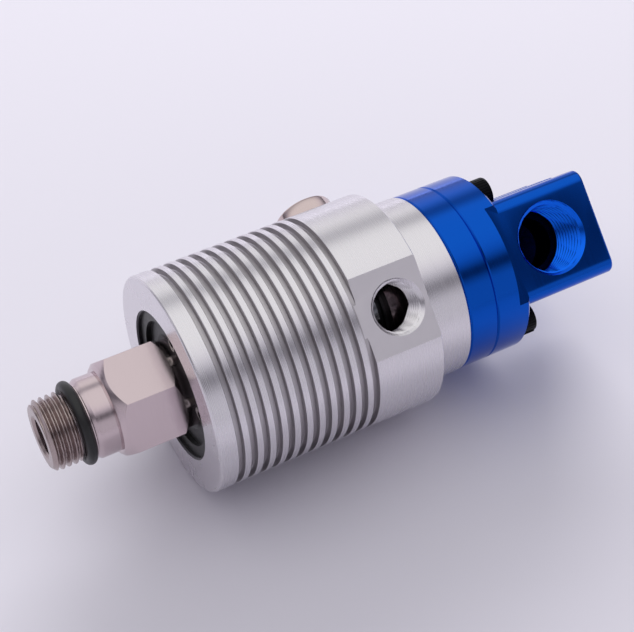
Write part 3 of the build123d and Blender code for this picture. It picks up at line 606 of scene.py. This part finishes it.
# ------------------------------------------------------------------ circlip in the mouth
CLIP_GAP = 129.0              # direction of the gap between its lugs
CLIP_R = 17.84
CLIP_BAND = 3.0               # at the gap, and thicker opposite
CLIP_SWELL = 0.35
LUG_TURN = 36.5               # from the gap's middle to a lug's eye
LUG_PROUD = 0.02              # the lugs, with their painted highlight, stand this much above the band
LUG_OUTLINE = ((15.6, -5.5), (14.6, -5.8), (13.2, -6.6), (12.1, -5.2), (11.6, -0.6), (12.2, 4.6),
               (13.6, 7.4), (14.6, 10.5), (15.6, 10.5))
EYE_R = 0.9
EYE_AT = 13.6

gap_half = LUG_TURN - 5.5
band = [polar(CLIP_R, turn) for turn in spread(gap_half, 360 - gap_half, 3.0)]
band += [polar(CLIP_R - CLIP_BAND - CLIP_SWELL * (1 - cos(radians(turn))), turn)
         for turn in spread(360 - gap_half, gap_half, 3.0)]
clip_rear = CLIP_FRONT + CLIP_THICKNESS
circlip = slab("mouth_circlip_body", lambda x: band, (CLIP_FRONT, clip_rear), CLIP_GAP)
lugs, eyes = [], []
# painted highlight: each lug is coloured bright steel
for side in (-1, 1):
    lug = [polar(r, side * (LUG_TURN + turn)) for r, turn in LUG_OUTLINE]
    lugs.append(painted(slab("lug", lambda x: lug, (CLIP_FRONT - LUG_PROUD, clip_rear + LUG_PROUD), CLIP_GAP),
                        "lug_painted_highlight"))
    h, w = polar(EYE_AT, side * LUG_TURN)
    eyes.append(plug("eye", [(CLIP_FRONT - 0.5, EYE_R), (clip_rear + 0.5, EYE_R)], 32,
                     Matrix.Translation(out(CLIP_GAP) * h + across(CLIP_GAP) * w)))
combine(circlip, lugs, "UNION", "spring_steel")
combine(circlip, eyes)
smooth(circlip)
dress(circlip, "spring_steel", "housing", "mouth_circlip")

# ------------------------------------------------------------------ drain plug
PLUG_ANGLE = PORT_ANGLE + 2 * PORT_STEP
WASHER_THICKNESS = 0.8
COLLAR_R = 7.0
COLLAR_LENGTH = 4.0
COLLAR_EDGE = 0.25
PLUG_SHANK_R = 5.29
PLUG_SHANK_LENGTH = 6.0
PLUG_SOCKET = 6.0             # across flats
PLUG_SOCKET_DEPTH = 3.0

plug_place = facing(PORT_X, PLUG_ANGLE, 0)
plug_base = FLAT_R + WASHER_THICKNESS
plug_top = plug_base + COLLAR_LENGTH
plug_tip = plug_base - PLUG_SHANK_LENGTH
socket_corner = PLUG_SOCKET / 2 * HEX_TO_CORNER
drain_plug = plug("drain_plug_body", [(plug_tip, PLUG_SHANK_R - 0.39), (plug_tip + 0.4, PLUG_SHANK_R),
                                      (plug_base, PLUG_SHANK_R), (plug_base, COLLAR_R - COLLAR_EDGE),
                                      (plug_base + COLLAR_EDGE, COLLAR_R), (plug_top - 0.7, COLLAR_R),
                                      (plug_top - COLLAR_EDGE, COLLAR_R - 0.2), (plug_top, COLLAR_R - 0.6)],
                  128, plug_place)
hollow = plug("hollow", [(plug_top - PLUG_SOCKET_DEPTH, socket_corner), (plug_top + 1.0, socket_corner)], 6,
              plug_place)
lead = plug("lead", [(plug_top - 0.5, PLUG_SOCKET / 2 - 0.1), (plug_top + 0.5, PLUG_SOCKET / 2 + 0.9)], 64,
            plug_place)
combine(drain_plug, [hollow, lead])
smooth(drain_plug)
dress(drain_plug, "plated_steel", "housing", "drain_plug")

# ------------------------------------------------------------------ cap screws, one tree repeats them
SHANK_LENGTH = 20.0
SHANK_R = 2.0
HEAD_R = 3.5
HEAD_LENGTH = 4.0
KNURLS = 30
KNURL_R = 0.19
SOCKET = 3.0                  # across flats
SOCKET_FLOOR = 1.8


def screw_shape():
    """One socket-head screw along +X with its head's underside at X = 0."""
    body = plug("screw", [(-SHANK_LENGTH, SHANK_R - 0.7), (0.7 - SHANK_LENGTH, SHANK_R), (0.0, SHANK_R),
                          (0.0, HEAD_R - 0.15), (0.12, HEAD_R), (HEAD_LENGTH - 0.45, HEAD_R),
                          (HEAD_LENGTH - 0.15, HEAD_R - 0.15), (HEAD_LENGTH, HEAD_R - 0.45)], 96)
    flutes = []
    for step in range(KNURLS):
        turn = 2 * pi * step / KNURLS
        move = Matrix.Translation((0, (HEAD_R + 0.09) * cos(turn), (HEAD_R + 0.09) * sin(turn)))
        flutes.append(plug("flute", [(0.55, KNURL_R), (3.3, KNURL_R)], 8, move))
    corner = SOCKET / 2 * HEX_TO_CORNER
    socket = plug("socket", [(SOCKET_FLOOR, corner), (HEAD_LENGTH + 1.0, corner)], 6)
    socket_lead = plug("lead", [(HEAD_LENGTH - 0.3, SOCKET / 2), (HEAD_LENGTH + 0.2, SOCKET / 2 + 0.55)], 48)
    return combine(body, flutes + [socket, socket_lead])


def repeater():
    """Geometry Nodes tree that puts a copy of a mesh on each given point."""
    tree = bpy.data.node_groups.new("repeat_on_points", "GeometryNodeTree")
    tree.interface.new_socket("Geometry", in_out="INPUT", socket_type="NodeSocketGeometry")
    tree.interface.new_socket("Piece", in_out="INPUT", socket_type="NodeSocketObject")
    tree.interface.new_socket("Finish", in_out="INPUT", socket_type="NodeSocketMaterial")
    tree.interface.new_socket("Geometry", in_out="OUTPUT", socket_type="NodeSocketGeometry")
    given = add(tree, "NodeGroupInput")
    piece = add(tree, "GeometryNodeObjectInfo", {"Object": given.outputs["Piece"]})
    points = add(tree, "GeometryNodeMeshToPoints", {"Mesh": given.outputs["Geometry"]})
    copies = add(tree, "GeometryNodeInstanceOnPoints", {"Points": points.outputs[0],
                                                        "Instance": piece.outputs["Geometry"]})
    real = add(tree, "GeometryNodeRealizeInstances", {0: copies.outputs[0]})
    coat = add(tree, "GeometryNodeSetMaterial", {"Geometry": real.outputs[0],
                                                 "Material": given.outputs["Finish"]})
    add(tree, "NodeGroupOutput", {0: coat.outputs[0]})
    return tree


screw = screw_shape()
smooth(screw, 35)
screws = mesh_object("cap_screws_body", [centre + Vector((FLANGE, 0, 0)) for centre in screw_centres], [])
step = screws.modifiers.new("repeat", "NODES")
step.node_group = repeater()
names = {item.name: item.identifier for item in step.node_group.interface.items_tree
         if item.in_out == "INPUT"}
step[names["Piece"]] = screw
step[names["Finish"]] = MATERIALS["black_oxide_steel"]
settle(screws)
bpy.data.objects.remove(screw, do_unlink=True)
dress(screws, "black_oxide_steel", "housing", "cap_screws")

# ------------------------------------------------------------------ camera
CAMERA_AT = (-66.5, -216.9, 270.3)
CAMERA_LOOK = (0.3238, 0.5968, -0.7341)

camera = bpy.data.objects.new("camera", bpy.data.cameras.new("camera"))
bpy.context.scene.collection.objects.link(camera)
bpy.context.scene.camera = camera
camera.location = Vector(CAMERA_AT) * MM
camera.rotation_euler = Vector(CAMERA_LOOK).to_track_quat("-Z", "Y").to_euler()
camera.data.lens = 93.1
camera.data.sensor_width = 36.0
camera.data.clip_start = 0.01
camera.data.clip_end = 20.0

# ------------------------------------------------------------------ floor
FLOOR = -25.0
FLOOR_REACH = 1500
floor = mesh_object("floor", [(-FLOOR_REACH, -FLOOR_REACH, FLOOR), (FLOOR_REACH, -FLOOR_REACH, FLOOR),
                              (FLOOR_REACH, FLOOR_REACH, FLOOR), (-FLOOR_REACH, FLOOR_REACH, FLOOR)],
                    [(0, 1, 2, 3)])
floor.data.materials.append(finish_of("floor_paper", "#D9D6E0", 0.0, 0.6))


# ------------------------------------------------------------------ lights, in metres and watts
def softbox(name, place, aim, width, height, watts):
    """Rectangular soft light aimed at a point."""
    light = bpy.data.lights.new(name, "AREA")
    light.shape = "RECTANGLE"
    light.size, light.size_y = width, height
    light.energy = watts
    made = bpy.data.objects.new(name, light)
    made.location = place
    made.rotation_euler = (Vector(aim) - Vector(place)).to_track_quat("-Z", "Y").to_euler()
    bpy.context.scene.collection.objects.link(made)
    return made


wash = softbox("back_wash", (0.55, 1.05, 0.62), (0.28, 0.50, -0.02), 1.0, 0.5, 15)
wash.visible_glossy = False


def shade(tree, value, stops):
    """Colour ramp from (place, colour) stops."""
    ramp = add(tree, "ShaderNodeValToRGB", {"Fac": value})
    for place, colour in stops:
        stop = ramp.color_ramp.elements.new(place)
        stop.color = rgb(colour)
    ramp.color_ramp.elements.remove(ramp.color_ramp.elements[0])
    ramp.color_ramp.elements.remove(ramp.color_ramp.elements[-1])
    return ramp.outputs[0]


# The sky is white overhead and behind, dark low in front as in a light tent's opening, and has a
# greyer seam between its top and back sheets.
BACK_LEAN = 0.5
TENT = ((0.0, "#CFCDD6"), (0.14, "#A5A3AB"), (0.23, "#64626A"), (0.33, "#66646C"), (0.46, "#BDBBC4"),
        (0.57, "#E2E0E8"), (0.70, "#F8F6FA"), (0.85, "#FFFFFF"))
SEAM_SHADE = ((0.52, "#FFFFFF"), (0.66, "#B4B3B9"), (0.72, "#B4B3B9"), (0.84, "#FFFFFF"))

world = bpy.data.worlds.new("studio")
bpy.context.scene.world = world
world.use_nodes = True
sky = world.node_tree
direction = add(sky, "ShaderNodeTexCoord").outputs["Generated"]
split = add(sky, "ShaderNodeSeparateXYZ", {"Vector": direction})
height = add(sky, "ShaderNodeMath", {0: split.outputs["Y"], 1: BACK_LEAN, 2: split.outputs["Z"]},
             operation="MULTIPLY_ADD")
sheets = add(sky, "ShaderNodeMix", {"Factor": 1.0, 6: shade(sky, height.outputs[0], TENT),
                                    7: shade(sky, split.outputs["Y"], SEAM_SHADE)},
             data_type="RGBA", blend_type="MULTIPLY")
sky.links.new(sheets.outputs[2], sky.nodes["Background"].inputs[0])
sky.nodes["Background"].inputs[1].default_value = 1.0

bpy.context.scene.view_settings.view_transform = "Standard"
